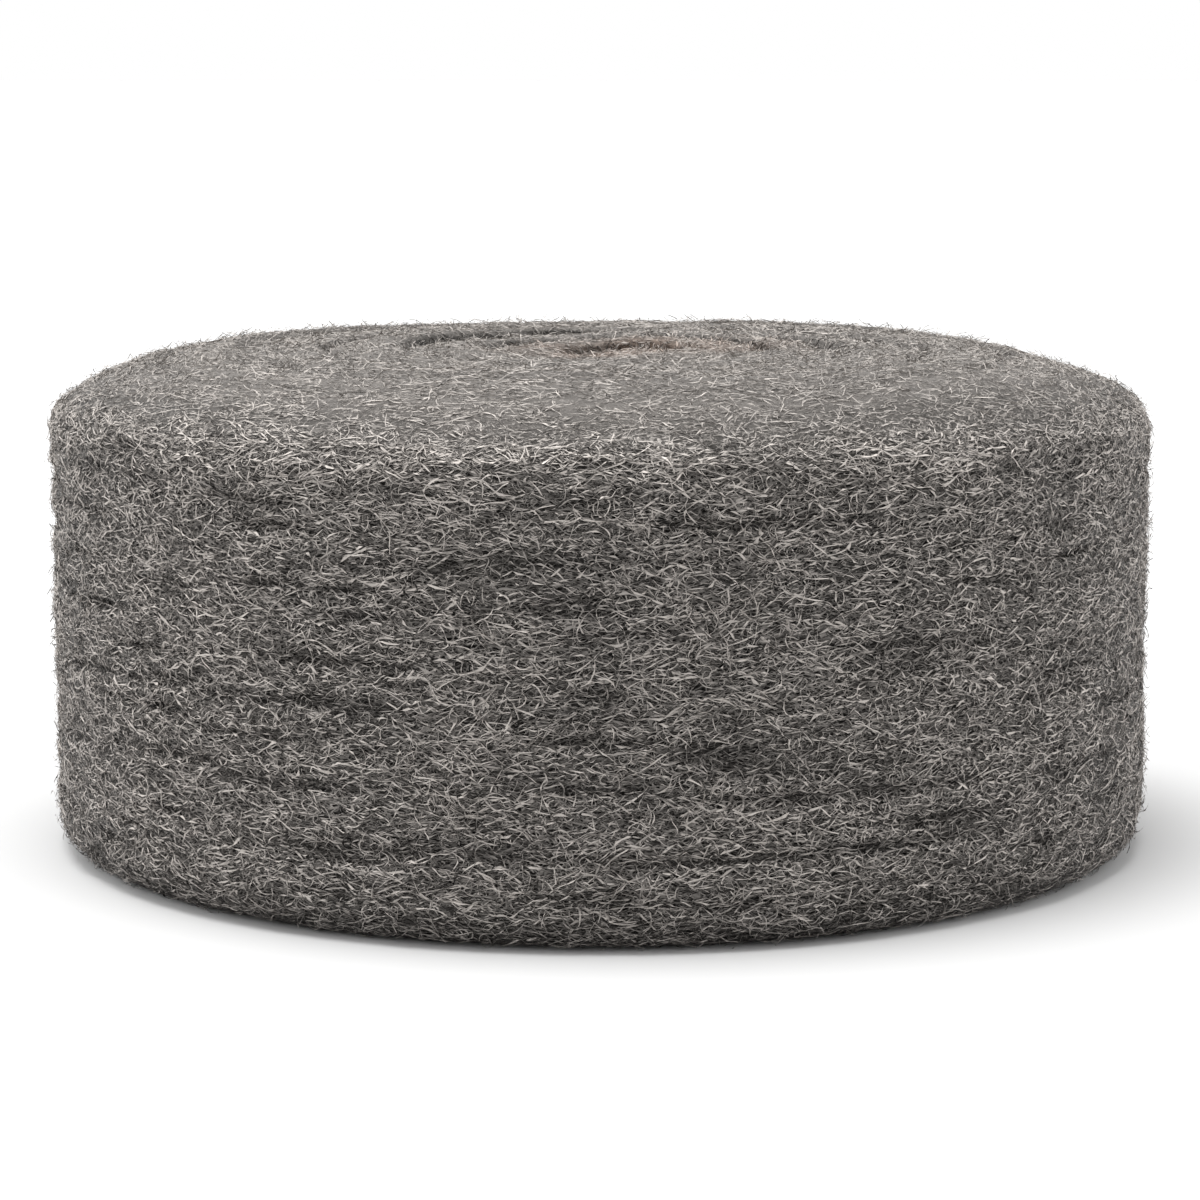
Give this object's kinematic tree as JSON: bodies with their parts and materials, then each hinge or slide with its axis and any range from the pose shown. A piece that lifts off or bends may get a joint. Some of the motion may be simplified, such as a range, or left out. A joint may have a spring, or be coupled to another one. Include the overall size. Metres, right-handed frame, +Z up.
{
  "type": "steel wool roll",
  "caption": "Ribbon of felted steel fibre wound into a squat round roll with soft shoulders, standing on its flat end.",
  "frame": {"origin": "middle of the flat end that the roll stands on", "axes": "+Z up along the winding axis, -Y towards the front, +X to the right seen from the front"},
  "size_m": [0.2248, 0.2248, 0.1],
  "materials": {
    "steel_wool": "tangled fine steel fibre, warm grey, soft sheen, with a faint rust tint at the eye of the top end"
  },
  "bodies": {
    "root": {"wool_roll": "steel_wool"}
  },
  "joints": []
}
